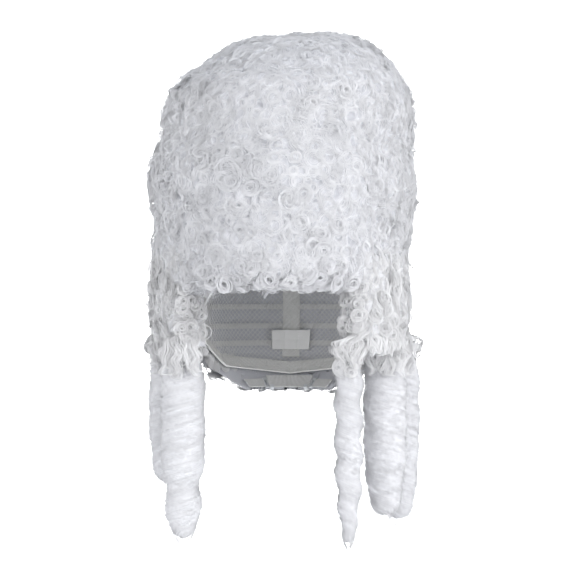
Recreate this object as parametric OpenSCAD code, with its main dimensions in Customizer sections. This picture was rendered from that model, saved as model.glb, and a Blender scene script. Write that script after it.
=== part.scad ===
/* [Head] */
// Half width of the head at its widest
head_a = 77; // [70:0.5:82]
// Half depth of the head, front to back
head_b = 97; // [90:0.5:102]
// Height from the widest level up to the crown
head_c = 92; // [86:0.5:98]

/* [Tower] */
// Outer radius of the hair at the side of the tower
tower_r = 120; // [116:0.5:126]
// Height of the crest above the crown of the head
tower_h = 161; // [152:1:170]
// Sideways lean of the crest
tower_lean = 14; // [0:1:18]
// Depth of the rolled curls in the outer surface
curl_depth = 2.4; // [0:0.1:3]

/* [Hairline] */
// Height of the fringe edge, below the crown
fringe_z = -66; // [-72:1:-62]
// Height of the end of the side hair
side_z = -122; // [-126:1:-118]
// Height of the end of the nape hair
nape_z = -165; // [-168:1:-163]

/* [Cap] */
// Thickness of the crown net
net_t = 0.85; // [0.6:0.05:0.9]
// Width of the elastic band round the rim
band_w = 11; // [8:0.5:12]
// Width of the tapes over the crown
tape_w = 16; // [10:1:20]
// Width of one row of wefting
weft_w = 5; // [3:0.5:6]

/* [Inner frame] */
// Radius of the base and middle wire rings
ring_r = 81; // [79:0.5:81]
// Radius of the top wire ring
top_ring_r = 63; // [55:0.5:64]
// Radius of the frame wire
wire_r = 1.2; // [0.8:0.1:1.2]
// Number of uprights
uprights = 8; // [6:1:12]

/* [Ringlets] */
// Radius of the wire loop that a ringlet hangs on
pin_r = 1.2; // [1:0.1:1.4]
// Radius of the rounded top of a full ringlet
knob_r = 16; // [14:0.5:16]
// Number of turns shown on a full ringlet
turns = 7; // [4:1:10]

/* [Adjusters] */
// Angle of one elastic, round the nape
elastic_deg = 24; // [16:1:26]
// Thickness of the elastic and of the loop tape
strap_t = 0.8; // [0.5:0.1:1]

/* [Hidden] */

// Angles run round the head from the face (0, towards -Y) to the wearer's left (90, +X).
// The crown of the head is the origin, and the cap's inner surface passes through it.

head_z = -head_c;          // level of the head's widest section
step = 7.5;                // angle between the ribs of every layer of the cap
hair_in = 4;               // hair starts this far outside the head
frame_out = ring_r + 5.9;  // hair of the tower starts at this radius
tower_z0 = -40;            // joint line between the tower and the hair below it
tower_z1 = 121;            // joint line below the crest
seam = 0.4;                // gap left along every joint line
lamina = 0.6;              // thickness of bands and tapes
pivot_gap = 1.5;           // between a ringlet's knob and the hair above it
pin_gap = 0.3;             // round the wire pin, in the hole through a ringlet's knob

white_hair = [0.90, 0.90, 0.92];
cloth = [0.93, 0.93, 0.93];
wire = [0.75, 0.75, 0.77];
clear_plastic = [0.85, 0.86, 0.88];

// Outer radius of the hair against height
profile = [[-168, 88], [-150, 100], [-135, 112], [-120, 119], [-90, 121], [-40, tower_r - 1],
    [0, tower_r], [30, tower_r + 2], [65, tower_r - 3], [100, tower_r - 8],
    [112, tower_r - 14], [121, tower_r - 23], [134, tower_r - 35],
    [tower_h - 15, tower_r - 55], [tower_h - 6, tower_r - 78], [tower_h, 0]];

// Height of the cap's rim against the angle from the face
rim = [[0, -62], [37.5, -65], [52.5, -82], [60, -104], [67.5, -108], [75, -96], [90, -100],
    [105, -118], [127.5, -140], [180, -148]];

function fold(a) = abs(a > 180 ? a - 360 : (a < -180 ? a + 360 : a));
function rim_z(a) = lookup(fold(a), rim);

// Radius of the head section at angle a, o outside the skin
function oval(a, o) = (head_a + o) * (head_b + o)
    / sqrt(pow((head_b + o) * sin(a), 2) + pow((head_a + o) * cos(a), 2));
function level(z, o) = sqrt(max(0, 1 - pow((z - head_z) / (head_c + o), 2)));
function skin_r(a, z, o) = oval(a, o) * level(z, o);

function polar(a, r, z) = [r * sin(a), -r * cos(a), z];
function on_skin(a, z, o) = polar(a, skin_r(a, z, o), z);

// Rolled curls: rows of bumps, each row half a bump on from the last
function curls(a, z) = curl_depth * sin(a * 15 + (round(z / 19) % 2) * 180) * cos(z * 360 / 38);
function lean(z) = tower_lean * pow(max(0, min(1, (z - 30) / 120)), 1.4);
function hair_r(a, z) = lookup(z, profile) + curls(a, z);
function on_hair(a, z) = polar(a, hair_r(a, z), z) + [lean(z), 0, 0];

// A closed slab between two surfaces given as functions of u and v, each from 0 to 1
module slab(nu, nv, outer, inner) {
    n = (nu + 1) * (nv + 1);
    pts = concat(
        [for (j = [0:nv]) for (i = [0:nu]) outer(i / nu, j / nv)],
        [for (j = [0:nv]) for (i = [0:nu]) inner(i / nu, j / nv)]);
    o = function(i, j) j * (nu + 1) + i;
    k = function(i, j) n + j * (nu + 1) + i;
    quads = concat(
        [for (j = [0:nv - 1]) for (i = [0:nu - 1]) [o(i, j), o(i, j + 1), o(i + 1, j + 1), o(i + 1, j)]],
        [for (j = [0:nv - 1]) for (i = [0:nu - 1]) [k(i, j), k(i + 1, j), k(i + 1, j + 1), k(i, j + 1)]],
        [for (i = [0:nu - 1]) [o(i, 0), o(i + 1, 0), k(i + 1, 0), k(i, 0)]],
        [for (i = [0:nu - 1]) [o(i + 1, nv), o(i, nv), k(i, nv), k(i + 1, nv)]],
        [for (j = [0:nv - 1]) [o(0, j + 1), o(0, j), k(0, j), k(0, j + 1)]],
        [for (j = [0:nv - 1]) [o(nu, j + 1), k(nu, j + 1), k(nu, j), o(nu, j)]]);
    polyhedron(points = pts,
        faces = [for (q = quads) for (t = [[q[0], q[1], q[2]], [q[0], q[2], q[3]]]) t], convexity = 8);
}

// The same, closed on itself in u
module ring_slab(nu, nv, outer, inner) {
    n = nu * (nv + 1);
    pts = concat(
        [for (j = [0:nv]) for (i = [0:nu - 1]) outer(i / nu, j / nv)],
        [for (j = [0:nv]) for (i = [0:nu - 1]) inner(i / nu, j / nv)]);
    o = function(i, j) j * nu + i % nu;
    k = function(i, j) n + j * nu + i % nu;
    quads = concat(
        [for (j = [0:nv - 1]) for (i = [0:nu - 1]) [o(i, j), o(i, j + 1), o(i + 1, j + 1), o(i + 1, j)]],
        [for (j = [0:nv - 1]) for (i = [0:nu - 1]) [k(i, j), k(i + 1, j), k(i + 1, j + 1), k(i, j + 1)]],
        [for (i = [0:nu - 1]) [o(i, 0), o(i + 1, 0), k(i + 1, 0), k(i, 0)]],
        [for (i = [0:nu - 1]) [o(i + 1, nv), o(i, nv), k(i, nv), k(i + 1, nv)]]);
    polyhedron(points = pts,
        faces = [for (q = quads) for (t = [[q[0], q[1], q[2]], [q[0], q[2], q[3]]]) t], convexity = 8);
}

// A strip of the cap between two angles, z0 and z1 being functions of the angle
module cap_strip(a0, a1, z0, z1, o0, o1, rows = 1) {
    nu = max(1, round((a1 - a0) / step));
    height = function(a, v) z0(a) + (z1(a) - z0(a)) * v;
    slab(nu, rows,
        function(u, v) on_skin(a0 + (a1 - a0) * u, height(a0 + (a1 - a0) * u, v), o1),
        function(u, v) on_skin(a0 + (a1 - a0) * u, height(a0 + (a1 - a0) * u, v), o0));
}

module cap_crown_net() color(cloth) {
    nu = 360 / step;
    nv = 14;
    last = function(a) acos((rim_z(a) - head_z) / head_c);
    place = function(a, t, o) polar(a, oval(a, o) * sin(t), head_z + (head_c + o) * cos(t));
    n = nu * nv;
    t_at = function(a, j) last(a) * (1 - j / nv);
    pts = concat(
        [for (j = [0:nv - 1]) for (i = [0:nu - 1]) place(i * step, t_at(i * step, j), 0.05 + net_t)],
        [for (j = [0:nv - 1]) for (i = [0:nu - 1]) place(i * step, t_at(i * step, j), 0.05)],
        [[0, 0, 0.05 + net_t], [0, 0, 0.05]]);
    o = function(i, j) j * nu + i % nu;
    k = function(i, j) n + j * nu + i % nu;
    quads = concat(
        [for (j = [0:nv - 2]) for (i = [0:nu - 1]) [o(i, j), o(i, j + 1), o(i + 1, j + 1), o(i + 1, j)]],
        [for (j = [0:nv - 2]) for (i = [0:nu - 1]) [k(i, j), k(i + 1, j), k(i + 1, j + 1), k(i, j + 1)]],
        [for (i = [0:nu - 1]) [o(i, 0), o(i + 1, 0), k(i + 1, 0), k(i, 0)]]);
    caps = concat(
        [for (i = [0:nu - 1]) [o(i, nv - 1), 2 * n, o(i + 1, nv - 1)]],
        [for (i = [0:nu - 1]) [k(i, nv - 1), k(i + 1, nv - 1), 2 * n + 1]]);
    polyhedron(points = pts, faces = concat(
        [for (q = quads) for (t = [[q[0], q[1], q[2]], [q[0], q[2], q[3]]]) t], caps), convexity = 8);
}

module rim_band(a0, a1, rows = 1)
    color(cloth) cap_strip(a0, a1, function(a) rim_z(a) - 0.5,
        function(a) rim_z(a) - 0.5 + band_w, 1.2, 1.2 + lamina, rows);

module front_band() rim_band(-52, 52);
module side_band_left() rim_band(76, 127);
module side_band_right() mirror([1, 0, 0]) side_band_left();
module nape_band() rim_band(128, 232, 2);

// Cloth tab in front of the ear, with a springy stay sewn on its outside
module ear_tab_left() color(cloth)
    cap_strip(53, 75.5, function(a) -119 + abs(a - 64) * 0.9, function(a) -90, 1.2, 1.2 + lamina, 3);
module ear_tab_right() mirror([1, 0, 0]) ear_tab_left();
module ear_tab_stay_left() color(wire)
    cap_strip(63, 66, function(a) -116, function(a) -92, 2.2, 2.8, 3);
module ear_tab_stay_right() mirror([1, 0, 0]) ear_tab_stay_left();

// Tape from the forehead over the crown to the nape
module centre_tape() color(cloth) {
    arc = function(t, x, o) let (k = sqrt(1 - pow(x / (head_a + o), 2)))
        [x, (head_b + o) * k * sin(t), head_z + (head_c + o) * k * cos(t)];
    slab(2, 34,
        function(u, v) arc(-55 + 171 * v, (u - 0.5) * tape_w, 1.8),
        function(u, v) arc(-55 + 171 * v, (u - 0.5) * tape_w, 1.3));
}

// Tape from ear to ear
module cross_tape() color(cloth) {
    arc = function(t, y, o) let (k = sqrt(1 - pow(y / (head_b + o), 2)))
        [(head_a + o) * k * sin(t), y, head_z + (head_c + o) * k * cos(t)];
    slab(32, 2,
        function(u, v) arc(-80 + 160 * u, (v - 0.5) * tape_w, 2.5),
        function(u, v) arc(-80 + 160 * u, (v - 0.5) * tape_w, 2.1));
}

// Rows of wefting: whole rings on the crown, horseshoes round the back below
module weft_ring(z) color(white_hair)
    ring_slab(360 / step, 1,
        function(u, v) on_skin(360 * u, z + (v - 0.5) * weft_w * level(z, 0), 3.5),
        function(u, v) on_skin(360 * u, z + (v - 0.5) * weft_w * level(z, 0), 2.9));
module weft_back(z, a) color(white_hair)
    cap_strip(a, 360 - a, function(q) z - weft_w / 2, function(q) z + weft_w / 2, 2.9, 3.5);

module weft_row_1() weft_ring(-8);
module weft_row_2() weft_ring(-20);
module weft_row_3() weft_ring(-35);
module weft_row_4() weft_ring(-50);
module weft_row_5() weft_back(-68, 75);
module weft_row_6() weft_back(-86, 82.5);
module weft_row_7() weft_back(-104, 105);
module weft_row_8() weft_back(-120, 120);

// Blank label inside the nape
module care_label() color("white")
    cap_strip(168.75, 191.25, function(a) -126, function(a) -108, -1.1, -0.6, 2);

// Frame inside the tower: wire rings, uprights and a stiff net over them
module wire_ring(r, z) color(wire)
    translate([0, 0, z]) rotate_extrude($fn = 96) translate([r, 0]) circle(r = wire_r, $fn = 24);
module frame_base_ring() wire_ring(ring_r, -29);
module frame_middle_ring() wire_ring(ring_r, 45);
module frame_top_ring() wire_ring(top_ring_r, 114);

upright_r = ring_r + 2 * wire_r + 0.1;
upright_top_r = top_ring_r + 2 * wire_r + 0.3;

module frame_uprights() color(wire)
    for (i = [0:uprights - 1]) rotate([0, 0, (i + 0.5) * 360 / uprights]) {
        slope = atan2(upright_r - upright_top_r, 117 - 52);
        run = sqrt(pow(upright_r - upright_top_r, 2) + pow(117 - 52, 2));
        translate([upright_r, 0, -32]) cylinder(r = wire_r, h = 84, $fn = 24);
        translate([upright_r, 0, 52]) sphere(r = wire_r + 0.15, $fn = 24);
        translate([upright_r, 0, 52]) rotate([0, -slope, 0]) cylinder(r = wire_r, h = run, $fn = 24);
    }

module frame_net() color(cloth) {
    r0 = upright_r + wire_r + 0.3;
    r1 = upright_top_r + wire_r + 0.5;
    t = 0.7;
    rotate_extrude($fn = 96) polygon([[r0, -34], [r0 + t, -34], [r0 + t, 52.5], [r1 + t, 119],
        [r1 + t - 1, 120.2], [0, 120.2], [0, 119.5], [r1 - 1, 119.5], [r1, 118.6], [r0, 52.3]]);
}

// Hair. Each lock group is a solid from the cap or the frame out to the curls.
module hair_patch(a0, a1, z0, z1, inner, nu, nv) color(white_hair)
    slab(nu, nv,
        function(u, v) let (a = a0 + (a1 - a0) * u) on_hair(a, z0(a) + (z1(a) - z0(a)) * v),
        function(u, v) let (a = a0 + (a1 - a0) * u, z = z0(a) + (z1(a) - z0(a)) * v)
            inner(a, z));

frame_r = [[-60, frame_out], [50, frame_out], [53, frame_out], [121, top_ring_r + 7]];
tower_in = function(a, z) polar(a, lookup(z, frame_r), z);
cap_in = function(a, z) on_skin(a, z, hair_in);

module tower_patch(a) hair_patch(a - 44.8, a + 44.8, function(q) tower_z0 + seam / 2,
    function(q) tower_z1 - seam / 2, tower_in, 15, 17);
module tower_hair_front() tower_patch(0);
module tower_hair_left() tower_patch(90);
module tower_hair_back() tower_patch(180);
module tower_hair_right() tower_patch(270);

// Crest of the tower, flat underneath where it sits on the frame
module tower_hair_top() color(white_hair) {
    nu = 60;
    z0 = tower_z1 + seam / 2;
    heights = [z0, z0 + 6, z0 + 13, z0 + 20, z0 + 27, z0 + 33, tower_h - 2.5];
    rows = len(heights);
    pts = concat([for (z = heights) for (i = [0:nu - 1]) on_hair(i * 360 / nu, z)],
        [[lean(tower_h), 0, tower_h], [lean(z0), 0, z0]]);
    o = function(i, j) j * nu + i % nu;
    polyhedron(points = pts, faces = concat(
        [for (j = [0:rows - 2]) for (i = [0:nu - 1])
            for (t = [[o(i, j), o(i, j + 1), o(i + 1, j + 1)], [o(i, j), o(i + 1, j + 1), o(i + 1, j)]]) t],
        [for (i = [0:nu - 1]) [o(i, rows - 1), rows * nu, o(i + 1, rows - 1)]],
        [for (i = [0:nu - 1]) [o(i, 0), o(i + 1, 0), rows * nu + 1]]), convexity = 4);
}

below_tower = function(q) tower_z0 - seam / 2;
face_left = 42;    // angle of the front edge of the side hair, wearer's left
face_right = -50;  // the same on the wearer's right
side_back = 125;   // angle where the side hair meets the nape hair

module fringe_hair() hair_patch(face_right + 0.15, face_left - 0.15,
    function(a) fringe_z - 12 * pow(abs(a) / 50, 4), below_tower, cap_in, 15, 4);
module side_hair_left() hair_patch(face_left + 0.15, side_back - 0.15,
    function(a) side_z, below_tower, cap_in, 13, 9);
module side_hair_right() hair_patch(-side_back + 0.15, face_right - 0.15,
    function(a) side_z, below_tower, cap_in, 12, 9);
module nape_hair() hair_patch(side_back + 0.15, 359.85 - side_back,
    function(a) nape_z + 15 * max(0, 1 - (180 - side_back - abs(a - 180)) / 20), below_tower,
    function(a, z) on_skin(a, z, z < -130 ? 7.5 : hair_in), 18, 13);

// A ringlet: [x, y, knob radius, full radius, tip radius, length below the loop, turns]
left_front = [61, -65, 11, 13.5, 5, 154, 6];
left_middle = [91, -10, knob_r, 20, 11, 131, turns];
left_rear = [102, 36, knob_r, 20, 12, 139, turns];
right_front = [-86, -44, knob_r, 20, 9, 149, turns + 1];
right_middle = [-103, -2, knob_r, 19.5, 12, 105, turns - 1];
right_rear = [-99, 39, knob_r, 18.5, 11, 98, turns - 1];

function loop_z(g) = side_z - pivot_gap - g[2];

module ringlet(g) color(white_hair) translate([g[0], g[1], loop_z(g)]) {
    k = g[2];
    full = g[3];
    len = g[5];
    rows = 6 * g[6];
    width = function(s) let (grow = min(1, s / 0.14), thin = max(0, (s - 0.45) / 0.55))
        (k + (full - k) * (3 * grow * grow - 2 * pow(grow, 3))) * (1 - thin * thin * (1 - g[4] / full))
            - 0.9 * (1 - cos(s * 360 * g[6])) * min(1, s * 8);
    knob = [for (t = [90:-10:20]) [k * cos(t), k * sin(t)]];
    waist = [[k, 2.6], [k, -2.6]];    // straight where the hole for the pin comes out
    side = [for (i = [2:rows]) [width(i / rows), -(len - g[4]) * i / rows]];
    tip = [for (t = [15:15:75]) [g[4] * cos(t), -len + g[4] - g[4] * sin(t)]];
    difference() {
        rotate_extrude($fn = 72) polygon(concat([[0, -len]], [[0, k]],
            [for (i = [1:len(knob) - 1]) knob[i]], waist, side, tip));
        rotate([90, 0, 0]) cylinder(r = pin_r + pin_gap, h = 4 * k, center = true, $fn = 48);
    }
}

// Wire loop sewn into the side hair: a cross pin with a post at each end
module ringlet_loop(g) color(wire) translate([g[0], g[1], loop_z(g)]) {
    y = g[2] + 2.2;
    rotate([90, 0, 0]) cylinder(r = pin_r, h = 2 * y, center = true, $fn = 48);
    for (s = [-1, 1]) translate([0, s * y, 0]) {
        sphere(r = pin_r, $fn = 48);
        cylinder(r = pin_r, h = g[2] + pivot_gap - 0.1, $fn = 48);
    }
}

module ringlet_left_front() ringlet(left_front);
module ringlet_left_middle() ringlet(left_middle);
module ringlet_left_rear() ringlet(left_rear);
module ringlet_right_front() ringlet(right_front);
module ringlet_right_middle() ringlet(right_middle);
module ringlet_right_rear() ringlet(right_rear);
module ringlet_loop_left_front() ringlet_loop(left_front);
module ringlet_loop_left_middle() ringlet_loop(left_middle);
module ringlet_loop_left_rear() ringlet_loop(left_rear);
module ringlet_loop_right_front() ringlet_loop(right_front);
module ringlet_loop_right_middle() ringlet_loop(right_middle);
module ringlet_loop_right_rear() ringlet_loop(right_rear);

// Nape adjusters: everything turns about one upright axis at the middle of the nape curve.
nape_y = 26.5;
strap_hi = [50.2, -149.8];
strap_lo = [39.8, -160.2];

// A strap between two angles from the middle of the nape, lifted off the head by d
module strap(a0, a1, d, t, trim = 0) translate([0, nape_y, 0]) rotate([0, 0, 90 + a0])
    rotate_extrude(angle = a1 - a0, $fn = 180) {
        n = [sin(45), -cos(45)];
        g = [sin(45), cos(45)] * trim;
        polygon([strap_hi - g + n * d, strap_lo + g + n * d,
            strap_lo + g + n * (d + t), strap_hi - g + n * (d + t)]);
    }

// Tape with a ladder of low ridges, one for each place the hook can sit
module adjuster_loop_tape() color(cloth) {
    strap(-26, 26, 0, strap_t);
    for (a = [-24:4:24]) strap(a - 0.6, a + 0.6, strap_t - 0.1, 0.5, 2);
}

module elastic(s) color(cloth) {
    a0 = 30.6;
    a1 = a0 + elastic_deg;
    if (s > 0) strap(-a1, -a0, 1.8, strap_t, 2.5);
    if (s < 0) strap(a0, a1, 1.8, strap_t, 2.5);
}
module adjuster_elastic_left() elastic(1);
module adjuster_elastic_right() elastic(-1);

// Hook: a frame that the elastic is folded through, and a tongue that lies over the ladder
// and turns round the lower edge of the tape to its other side
module adjuster_hook_left() color(clear_plastic) {
    difference() {
        strap(-30.4, -25.6, 1.6, 1.5, 1.5);
        strap(-29, -27, 1, 4, 3.2);
    }
    tongue(-25.9, -20.6);
}
module adjuster_hook_right() mirror([1, 0, 0]) adjuster_hook_left();

module tongue(a0, a1) translate([0, nape_y, 0]) rotate([0, 0, 90 + a0])
    rotate_extrude(angle = a1 - a0, $fn = 180) {
        n = [sin(45), -cos(45)];
        g = [sin(45), cos(45)];
        top = strap_hi - g * 4.4 + n * 3;
        polygon([top - n * 0.5, top - g * 0.5, strap_lo - g * 1.4 + n * 3,
            strap_lo - g * 1.4 - n * 1.3, strap_lo + g * 2 - n * 1.3, strap_lo + g * 2 - n * 0.4,
            strap_lo - g * 0.4 - n * 0.4, strap_lo - g * 0.4 + n * 1.7, strap_hi - g * 4.4 + n * 1.7]);
    }

cap_crown_net();
front_band();
side_band_left();
side_band_right();
nape_band();
ear_tab_left();
ear_tab_right();
ear_tab_stay_left();
ear_tab_stay_right();
centre_tape();
cross_tape();
weft_row_1();
weft_row_2();
weft_row_3();
weft_row_4();
weft_row_5();
weft_row_6();
weft_row_7();
weft_row_8();
care_label();
frame_base_ring();
frame_middle_ring();
frame_top_ring();
frame_uprights();
frame_net();
fringe_hair();
tower_hair_front();
tower_hair_back();
tower_hair_left();
tower_hair_right();
tower_hair_top();
side_hair_left();
side_hair_right();
nape_hair();
ringlet_left_front();
ringlet_left_middle();
ringlet_left_rear();
ringlet_right_front();
ringlet_right_middle();
ringlet_right_rear();
ringlet_loop_left_front();
ringlet_loop_left_middle();
ringlet_loop_left_rear();
ringlet_loop_right_front();
ringlet_loop_right_middle();
ringlet_loop_right_rear();
adjuster_loop_tape();
adjuster_elastic_left();
adjuster_elastic_right();
adjuster_hook_left();
adjuster_hook_right();
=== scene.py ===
"""Tall curled costume wig: the looks of every piece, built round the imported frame."""
import math

import bpy
import numpy as np
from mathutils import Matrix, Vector


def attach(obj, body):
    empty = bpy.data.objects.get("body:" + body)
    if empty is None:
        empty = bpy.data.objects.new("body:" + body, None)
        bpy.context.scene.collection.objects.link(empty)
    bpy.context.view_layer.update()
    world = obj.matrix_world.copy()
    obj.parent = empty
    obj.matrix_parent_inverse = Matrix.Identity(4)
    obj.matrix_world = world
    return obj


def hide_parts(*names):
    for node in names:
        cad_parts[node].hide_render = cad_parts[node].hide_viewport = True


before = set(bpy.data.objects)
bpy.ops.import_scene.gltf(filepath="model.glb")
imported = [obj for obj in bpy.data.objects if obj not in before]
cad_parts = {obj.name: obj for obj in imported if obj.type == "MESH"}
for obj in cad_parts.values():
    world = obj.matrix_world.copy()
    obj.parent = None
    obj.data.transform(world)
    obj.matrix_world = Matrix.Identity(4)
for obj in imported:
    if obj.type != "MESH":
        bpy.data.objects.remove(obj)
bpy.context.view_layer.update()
ROOT = "cap_and_tower"
MM = 0.001
PI = math.pi
rng = np.random.default_rng(20)

# ---------------------------------------------------------------- shape of the wig, in mm
HEAD = np.array([77.0, 97.0, 92.0])      # half axes of the head, its middle 92 below the crown
PROFILE_Z = [-168, -150, -135, -120, -90, -40, 0, 30, 65, 100, 112, 121, 134, 146, 155, 161]
PROFILE_R = [84, 97, 109, 116, 118, 116, 116, 120, 112, 109, 104, 96, 84, 65, 46, 0]
FRINGE_Z, SIDE_Z, NAPE_Z = -66.0, -122.0, -163.0  # lower edges of the hair
TOWER_FOOT, TOWER_TOP = -40, 121                  # the tower stands between these, with the crest on it
FACE_LEFT, FACE_RIGHT, SIDE_BACK = 42.0, -50.0, 125.0
RIM_A = [0, 37.5, 52.5, 60, 67.5, 75, 90, 105, 127.5, 180]
RIM_Z = [-62, -65, -82, -104, -108, -96, -100, -118, -140, -148]


def lean(z):
    return 14 * np.clip((np.asarray(z, float) - 30) / 120, 0, 1) ** 1.4


def smooth_profile():
    """The side outline as points an even millimetre apart, with its corners rounded."""
    z, r = np.array(PROFILE_Z, float), np.array(PROFILE_R, float)
    run = np.concatenate([[0], np.cumsum(np.hypot(np.diff(z), np.diff(r)))])
    s = np.arange(0, run[-1], 1.0)
    z, r = np.interp(s, run, z), np.interp(s, run, r)
    kernel = np.hanning(19)[1:-1]
    kernel /= kernel.sum()
    pad = len(kernel) // 2
    ends = lambda v, flip: np.concatenate([2 * v[0] - v[pad:0:-1], v, flip * v[-2:-pad - 2:-1]])
    zs = np.convolve(ends(z, 1), kernel, "valid")
    rs = np.convolve(ends(r, -1), kernel, "valid")
    return s, np.maximum(rs, 0), zs


S_AXIS, R_AXIS, Z_AXIS = smooth_profile()
S_END = float(S_AXIS[-1])


def run_at(z):
    return np.interp(z, Z_AXIS, S_AXIS)


def z_at(s):
    return np.interp(s, S_AXIS, Z_AXIS)


def r_at(s):
    return np.interp(s, S_AXIS, R_AXIS)


def surface(a, s):
    """Point, normal, direction round the head and direction up the hair, at angle a (degrees) and run s."""
    a = np.radians(a)
    z = z_at(s)
    r = r_at(s) - 5 * np.clip(-z / 60, 0, 1) * np.maximum(0, np.sin(a))
    dr, dz = (r_at(s + 3) - r_at(s - 3)) / 6, (z_at(s + 3) - z_at(s - 3)) / 6
    p = np.stack([r * np.sin(a) + lean(z), -r * np.cos(a), z], -1)
    e = np.stack([np.cos(a), np.sin(a), np.zeros_like(a)], -1)
    u = np.stack([dr * np.sin(a), -dr * np.cos(a), dz], -1)
    u /= np.linalg.norm(u, axis=-1, keepdims=True) + 1e-9
    n = np.cross(e, u)
    n /= np.linalg.norm(n, axis=-1, keepdims=True) + 1e-9
    return p, n, e, u


def oval(a, o):
    a = np.radians(a)
    return (HEAD[0] + o) * (HEAD[1] + o) / np.sqrt(
        ((HEAD[1] + o) * np.sin(a)) ** 2 + ((HEAD[0] + o) * np.cos(a)) ** 2)


def on_skin(a, z, o):
    """A point o outside the head, at angle a from the face and height z."""
    level = np.sqrt(np.maximum(0, 1 - ((z + HEAD[2]) / (HEAD[2] + o)) ** 2))
    r = oval(a, o) * level
    ar = np.radians(a)
    return np.stack([r * np.sin(ar), -r * np.cos(ar), np.broadcast_to(z, r.shape) * 1.0], -1)


def rim_z(a):
    return np.interp(np.abs((np.asarray(a, float) + 180) % 360 - 180), RIM_A, RIM_Z)


class Noise:
    """Smooth value noise in three dimensions, about -1 to 1."""

    def __init__(self, seed):
        self.grid = np.random.default_rng(seed).uniform(-1, 1, (32, 32, 32))

    def __call__(self, p, size):
        q = np.asarray(p) / size
        i = np.floor(q).astype(int)
        f = q - i
        f = f * f * (3 - 2 * f)
        out = 0
        for dx in (0, 1):
            for dy in (0, 1):
                for dz in (0, 1):
                    w = (np.where(dx, f[..., 0], 1 - f[..., 0]) * np.where(dy, f[..., 1], 1 - f[..., 1])
                         * np.where(dz, f[..., 2], 1 - f[..., 2]))
                    out = out + w * self.grid[(i[..., 0] + dx) % 32, (i[..., 1] + dy) % 32,
                                              (i[..., 2] + dz) % 32]
        return out


noise = Noise(5)
flow = Noise(9)

# ---------------------------------------------------------------- materials


def material(name, rough=0.6, **sockets):
    m = bpy.data.materials.new(name)
    m.use_nodes = True
    nt = m.node_tree
    b = nt.nodes["Principled BSDF"]
    b.inputs["Roughness"].default_value = rough
    for k, v in sockets.items():
        b.inputs[k.replace("_", " ")].default_value = v
    return m, nt, b


def ramp(nt, fac, stops):
    r = nt.nodes.new("ShaderNodeValToRGB")
    while len(r.color_ramp.elements) < len(stops):
        r.color_ramp.elements.new(0.5)
    for e, (at, c) in zip(r.color_ramp.elements, stops):
        e.position = at
        e.color = (*c, 1)
    nt.links.new(fac, r.inputs[0])
    return r.outputs[0]


def noise_node(nt, scale, detail=3):
    t = nt.nodes.new("ShaderNodeTexNoise")
    t.inputs["Scale"].default_value = scale
    t.inputs["Detail"].default_value = detail
    t.inputs["Roughness"].default_value = 0.55
    nt.links.new(nt.nodes.new("ShaderNodeTexCoord").outputs["Object"], t.inputs["Vector"])
    return t.outputs[0]


def bump(nt, b, height, strength, distance):
    n = nt.nodes.new("ShaderNodeBump")
    n.inputs["Strength"].default_value = strength
    n.inputs["Distance"].default_value = distance
    nt.links.new(height, n.inputs["Height"])
    nt.links.new(n.outputs[0], b.inputs["Normal"])


def math_node(nt, op, a, b=None, clamp=False):
    n = nt.nodes.new("ShaderNodeMath")
    n.operation = op
    n.use_clamp = clamp
    for i, v in enumerate((a, b)):
        if v is None:
            continue
        if isinstance(v, (int, float)):
            n.inputs[i].default_value = v
        else:
            nt.links.new(v, n.inputs[i])
    return n.outputs[0]


def attribute(nt, name):
    at = nt.nodes.new("ShaderNodeAttribute")
    at.attribute_name = name
    return at.outputs["Fac"]


def blend(nt, a, part_a, b, part_b, clamp=False):
    return math_node(nt, "ADD", math_node(nt, "MULTIPLY", a, part_a), math_node(nt, "MULTIPLY", b, part_b), clamp)


def waves(nt, v, pitch):
    return math_node(nt, "SINE", math_node(nt, "MULTIPLY", v, 2 * PI / pitch))


def half_up(nt, v):
    """v, from -1 to 1, moved to 0 to 1."""
    out = math_node(nt, "MULTIPLY_ADD", v, 0.5)
    out.node.inputs[2].default_value = 0.5
    return out


def paint(nt, b, tone, *stops):
    nt.links.new(ramp(nt, tone, stops), b.inputs["Base Color"])


def fibre_material(name, dark, mid, light):
    """Curled fibre: each strand carries its own shade, mixed with broad drifts of tone."""
    m, nt, b = material(name, 0.55, Sheen_Weight=0.3, Sheen_Roughness=0.5, Specular_IOR_Level=0.3)
    tone = blend(nt, attribute(nt, "shade"), 0.72, noise_node(nt, 22, 2), 0.28, clamp=True)
    paint(nt, b, tone, (0.0, dark), (0.45, mid), (1.0, light))
    return m


def combed_material(name, dark, light):
    """Packed fibre: fine lines along the comb of each lock, and the tone it carries in its shade attribute, which on
    the packed hair is each lock's own tone with a painted shade in the hollows that no lock covers.
    """
    m, nt, b = material(name, 0.65, Sheen_Weight=0.3, Specular_IOR_Level=0.3)
    comb = math_node(nt, "MULTIPLY_ADD", noise_node(nt, 300, 2), 0.8)
    nt.links.new(attribute(nt, "comb"), comb.node.inputs[2])
    lines = blend(nt, waves(nt, comb, 1.0), 0.12, waves(nt, comb, 0.375), 0.10)
    tone = math_node(nt, "ADD", blend(nt, attribute(nt, "shade"), 0.5, noise_node(nt, 60), 0.35), lines)
    paint(nt, b, tone, (0.1, dark), (0.8, light))
    bump(nt, b, lines, 0.35, 0.0008)
    return m


def mass_material(name, dark, light):
    """Matted fibre: fine lines over soft clumps."""
    m, nt, b = material(name, 0.75, Sheen_Weight=0.3)
    tone = blend(nt, noise_node(nt, 90, 4), 0.7, noise_node(nt, 420, 2), 0.3)
    paint(nt, b, tone, (0.3, dark), (0.7, light))
    bump(nt, b, tone, 0.6, 0.003)
    return m


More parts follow.
